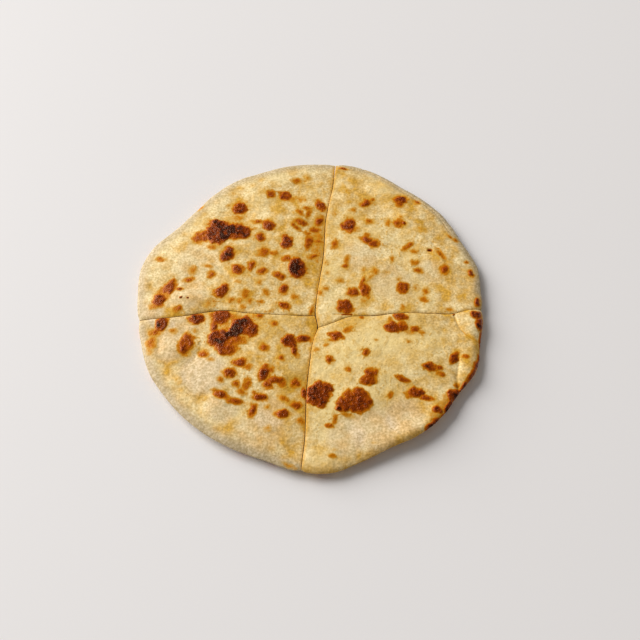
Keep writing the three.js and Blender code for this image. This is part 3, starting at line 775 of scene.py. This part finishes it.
bake_quarter("quarter_back_right", BACK_RIGHT_MARKS, BACK_RIGHT_GOLD, BACK_RIGHT_LIGHT, BACK_RIGHT_PALE,
             BACK_RIGHT_CREASES, rim_toast_and_shade=0.08, rim_shading_share=1.0, glow=1.2, seed=21)


# ---- Quarter at the front left ---------------------------------------------------------------------
# The quarter with three thin-skinned blisters near its rim, and the widest scorched patch, which
# collapsed in its middle and stayed golden there.

FRONT_LEFT_MARKS = [
    (-74, -19, 9, 6, 80, 0.9), (-77, -24, 6, 5, 0, 0.5), (-78, -30, 7, 5, 90, 0.45),
    (-78, -35, 4, 3, 90, 0.3), (-57, -15, 7, 6, 0, 0.95), (-60.5, -27, 6, 7, 0, 0.75),
    (-61, -33, 7, 5, 80, 0.78), (-60.5, -30, 12, 8, 82, 0.62), (-45, -13, 9, 9, 0, 0.85),
    (-47.5, -19, 9, 3.5, 85, 0.72), (-46, -26, 8, 9, 0, 0.92), (-43.5, -27, 8, 5, 30, 1.12),
    (-40, -24, 9, 5, 45, 1.15), (-35.5, -19.5, 13, 7, 55, 1.15), (-32.5, -17, 9, 8, 50, 1.05),
    (-43, -22.5, 5, 3.5, 40, 0.95), (-28.5, -20, 7.5, 8, -20, 0.9), (-31.5, -20, 7, 7, 0, 0.82),
    (-40, -32, 10, 7, -20, 0.74), (-43.5, -30, 7, 5, -20, 0.85), (-37, -27, 10, 6, 30, 0.6),
    (-38, -13, 9, 4, -5, 0.4), (-35.5, -16, 7, 4.5, -15, 0.78), (-42, -17.5, 8, 8, 0, 0.28),
    (-36, -31, 4, 7, 0, 0.42), (-33, -26, 8, 5, 0, 0.38), (-51, -35, 5, 4, 0, 0.6),
    (-47, -38, 3, 2, 0, 0.35), (-57, -22, 2, 2, 0, 0.35), (-68, -23, 3, 2, 0, 0.45),
    (-37, -45, 6, 5, 0, 0.9), (-41, -49, 3, 3, 0, 0.45), (-32.5, -39, 7, 5, 10, 0.72),
    (-28.5, -41, 5, 3, 0, 0.5), (-20, -44, 8, 5, 80, 0.95), (-17, -42, 3, 3, 0, 0.5),
    (-21, -29.5, 5, 4, -25, 0.7), (-12, -35, 3, 3, 0, 0.55), (-9, -25, 8, 7, 10, 0.95),
    (-6, -30, 7, 3, -65, 0.8), (-2, -23, 7, 4, 10, 0.9), (-25.5, -11, 5, 4, 0, 0.65),
    (-17.5, -15.5, 4, 3, 0, 0.55), (-14, -47.5, 9, 4, 5, 0.7), (-17.5, -50, 5, 5, 0, 0.72),
    (-10.5, -49, 4, 4, 0, 0.6), (-4, -48, 5, 5, 0, 0.75), (-28, -51, 8, 3.5, 80, 0.55),
    (-33, -51, 4.5, 4, 0, 0.55), (-30, -55, 4, 3, 0, 0.5), (-40, -57, 8, 4, -25, 0.75),
    (-33, -60, 8, 3.5, -5, 0.65), (-21, -57, 6, 4, 0, 0.9), (-24, -55, 2, 2, 0, 0.5),
    (-9, -57, 6, 3, -30, 0.55), (-3, -60, 5, 4, 0, 0.85), (-24, -64, 7, 4, 80, 0.75),
    (-17, -62, 2, 2, 0, 0.35), (-9, -65, 7, 4, 0, 0.85), (-16, -73, 3, 3, 0, 0.3),
    (0, -68, 4, 4, 0, 0.45), (0.5, -53, 6, 2.5, 90, 0.85), (-62, -51, 3, 3, 0, 0.2),
    (-50, -64, 7, 4, 90, 0.1), (-4, -91, 5, 2, -20, 0.35),
]
FRONT_LEFT_GOLD = [
    (-78, -28, 8, 0.5), (-62, -50, 8, 0.3), (-44, -10, 9, -0.2), (-36, -30, 8, 0.4), (-13, -33, 8, 0.5),
    (-28, -30, 6, -0.3), (-3, -15, 8, 0.5), (-5, -40, 8, 0.7), (-5, -46, 7, 0.3), (-21, -35, 5, 0.3),
    (-29, -47, 6, -0.5), (-78, -13, 7, -0.6), (-19, -52, 6, -0.5), (-82, -24, 7, 0.5),
    (-73, -12, 6, -0.6), (-11, -61, 5, 0.5), (-7, -92, 7, 0.2), (-14, -66, 9, 0.5), (0, -57, 5, -0.3),
    (-31, -62, 6, -0.3), (-63, -58, 8, 0.4), (-78, -38, 8, 0.3), (-33, -78, 9, 0.5),
    (-14, -80, 10, 0.3), (-30, -66, 8, -0.2), (-60, -38, 7, 0.3), (-70, -17, 9, -0.3),
    (-22, -8, 8, 0.6), (-36, -49, 7, -0.6), (-50, -66, 7, -0.2),
]
FRONT_LEFT_LIGHT = [
    (-10, -12, 5, 0.4), (-30, -67, 7, 0.4), (-20, -17, 7, 0.4), (-4, -38, 7, 0.5), (-40, -47, 6, 0.3),
]
FRONT_LEFT_PALE = [
    (-74, -20, 7, 0.5), (-16, -65, 9, 0.4), (-62, -20, 8, 0.5), (-78, -13, 7, 0.9), (-69, -33, 8, 0.6),
    (-50, -46, 12, 0.8), (-39, -64, 8, 0.5), (-20, -75, 12, 0.35),
]
FRONT_LEFT_CREASES = [
    (1.8, 0.0, 0.13, LONG_CUT_FRONT),
    (4.5, 0.0, 0.12, [(0, -86), (0, -72), (-0.5, -50), (-0.5, -42)]),
    (1.5, 0.25, 0.07, [(-53, -29), (-53, -33), (-56, -39), (-59, -44), (-65, -43), (-70, -41)]),
    (1.4, 0.2, 0.07, [(-74, -29), (-74, -35), (-70, -41)]),
    (1.6, 0.2, 0.05, [(-59, -44), (-58, -52)]),
    (1.6, 0.15, 0.03, [(-58, -52), (-52, -57), (-50, -62), (-50, -66)]),
    (1.3, 0.15, 0.08, [(-50, -58), (-41, -56), (-34, -57), (-28, -60)]),
]
bake_quarter("quarter_front_left", FRONT_LEFT_MARKS, FRONT_LEFT_GOLD, FRONT_LEFT_LIGHT, FRONT_LEFT_PALE,
             FRONT_LEFT_CREASES, rim_toast_and_shade=0.06, rim_shading_share=1.0, glow=1.2, seed=41)


# ---- Quarter at the front right --------------------------------------------------------------------
# The quarter with the two largest round blisters. On its right the rim was folded in two small flaps,
# and below them it stood against the oven's edge, curled up and scorched.

FRONT_RIGHT_MARKS = [
    (7.5, -53.5, 13.5, 11.5, 80, 0.9), (11.5, -50, 6, 6, 0, 0.9), (27, -55.5, 13.5, 12, -25, 0.8),
    (21, -57.5, 8, 7.5, 20, 0.8), (18.5, -60, 4, 4, 0, 1.1), (21.5, -52, 6, 4, 60, 0.65),
    (27, -50, 5, 4, 0, 0.8), (22, -63, 7, 3, -10, 0.35), (16.5, -66, 6, 3, 75, 0.45),
    (14, -69.5, 4, 3, 0, 0.6), (33.5, -40, 6, 6, 0, 0.66), (32.8, -41.5, 9, 6.5, 90, 0.7),
    (32, -44, 8, 6, 0, 0.7), (30, -29, 5, 4, 80, 0.75), (12, -34, 5, 4, -80, 0.65),
    (21.5, -39, 3.5, 3, 0, 0.6), (14.5, -20.5, 8, 5, -10, 0.75), (20.5, -16, 8, 3.5, 38, 0.42),
    (12, -23, 3, 2, 0, 0.45), (10, -26, 3, 2, 30, 0.4), (5, -29, 4, 3, 0, 0.35),
    (47, -6, 7.5, 4, -5, 0.78), (42, -9, 4, 5, 0, 0.42), (43, -12.5, 9, 6.5, 5, 0.82),
    (48, -12, 6.5, 5, 90, 0.78), (54, -12.5, 5.5, 4, 0, 0.7), (52, -14.5, 10, 4, 0, 0.25),
    (58, -14, 5, 3, 0, 0.4), (51, -20, 3, 3, 0, 0.3), (35, -21, 3, 2, 0, 0.3),
    (62, -34, 7, 5, -5, 0.85), (67, -34, 4, 3, 0, 0.65), (68, -37, 5, 3, -10, 0.55),
    (49, -42, 8, 3, -18, 0.7), (43, -51, 4, 3, 80, 0.5), (55, -49, 9, 6, 10, 0.85),
    (60.5, -51, 8, 3, -10, 0.75), (75, -27, 8, 4, 65, 0.85), (81, -26, 4, 3, 0, 0.6),
    (86, -1, 6, 5, 0, 0.9), (88, -6, 8, 4, 90, 1.0), (88.5, -16, 16, 2, 89, 0.6),
    (88, -26, 6, 3, 85, 0.85), (86, -30, 6, 3, 65, 0.9), (84.5, -34, 6, 2.5, 60, 0.8),
    (82.5, -37.5, 8, 2.5, 60, 0.8), (79.5, -42.5, 8, 2.5, 55, 0.85), (74.5, -48, 8, 6, 60, 0.95),
    (72.5, -55.5, 8, 5, 60, 1.08), (66, -57, 5.5, 5, 0, 0.85), (69, -60, 5, 3, 50, 0.6),
    (64.5, -65, 9, 4, 42, 1.08), (71, -54, 30, 10, 52, 0.28), (16, -85, 4, 2.5, 0, 0.45),
    (17, -82, 3, 2, 0, 0.25), (36, -77, 3, 2, 0, 0.2), (76, -42, 3, 3, 0, 0.5), (27, -8, 3, 2, 0, 0.5),
]
FRONT_RIGHT_GOLD = [
    (85, -19, 6, 0.2), (82, -29, 7, 0.3), (67, -50, 8, 0.2), (27, -14, 6, 0.3), (66, -37, 6, 0.3),
    (68, -43, 6, 0.3), (50, -64, 12, 0.5), (28, -84, 9, -0.1), (60, -5, 8, 0.1), (78, -20, 5, 0.2),
    (20, -14, 6, 0.3), (24, -26, 8, -0.35), (52, -15, 7, 1.1), (76, -5, 7, 0.5), (16, -56, 5, -0.5),
    (64, -13, 7, 0.3), (60, -35, 8, 0.3), (45, -43, 6, 0.25), (27, -9, 7, 0.35), (46, -72, 10, 0.8),
    (10, -91, 8, 0.4), (10, -62, 6, -0.3), (28, -50, 6, -0.3), (42, -3, 5, -0.3), (12, -38, 6, -0.3),
]
FRONT_RIGHT_LIGHT = [
    (53, -5, 6, 0.4), (10, -10, 5, 0.4), (17, -50, 6, 0.6), (36, -57, 7, 0.4), (11, -62, 6, 0.6),
    (31, -50, 6, 0.5), (10, -88, 7, 0.5), (12, -72, 8, 0.55), (15, -58, 5, 0.8), (8, -39, 9, 0.7),
    (22, -29, 11, 0.9), (38, -22, 11, 0.8), (52, -18, 10, 0.5), (64, -18, 8, 0.5), (40, -44, 8, 0.7),
    (30, -12, 7, 0.4), (58, -35, 12, 0.3),
]
# These pale places are painted shade on the slope that falls towards the front rim.
FRONT_RIGHT_PALE = [(35, -70, 12, 0.5), (50, -62, 10, 0.5), (22, -75, 10, 0.4)]
FRONT_RIGHT_CREASES = [
    (1.9, 0.0, 0.24, LONG_CUT_FRONT),
    (0.6, 0.5, 0.15, [(75, -2), (77, -8), (80, -12), (84, -15), (88, -17)]),
    (0.6, 0.2, 0.27, [(79, -10.7), (81, -13), (84, -15), (87, -16.5)]),
    (0.8, 0.35, 0.13, [(77, -26), (77, -32), (76, -38), (77, -45)]),
    # A wide crease without depth paints shade beside the second flap.
    (2.5, 0.0, 0.05, [(79, -26), (79, -33), (78.5, -40)]),
    (0.4, 0.3, 0.9, [(74.5, -1.5), (74.9, -1.4)]),
]
bake_quarter("quarter_front_right", FRONT_RIGHT_MARKS, FRONT_RIGHT_GOLD, FRONT_RIGHT_LIGHT,
             FRONT_RIGHT_PALE, FRONT_RIGHT_CREASES, rim_toast_and_shade=0.08, rim_shading_share=0.1, glow=0.4, seed=61)
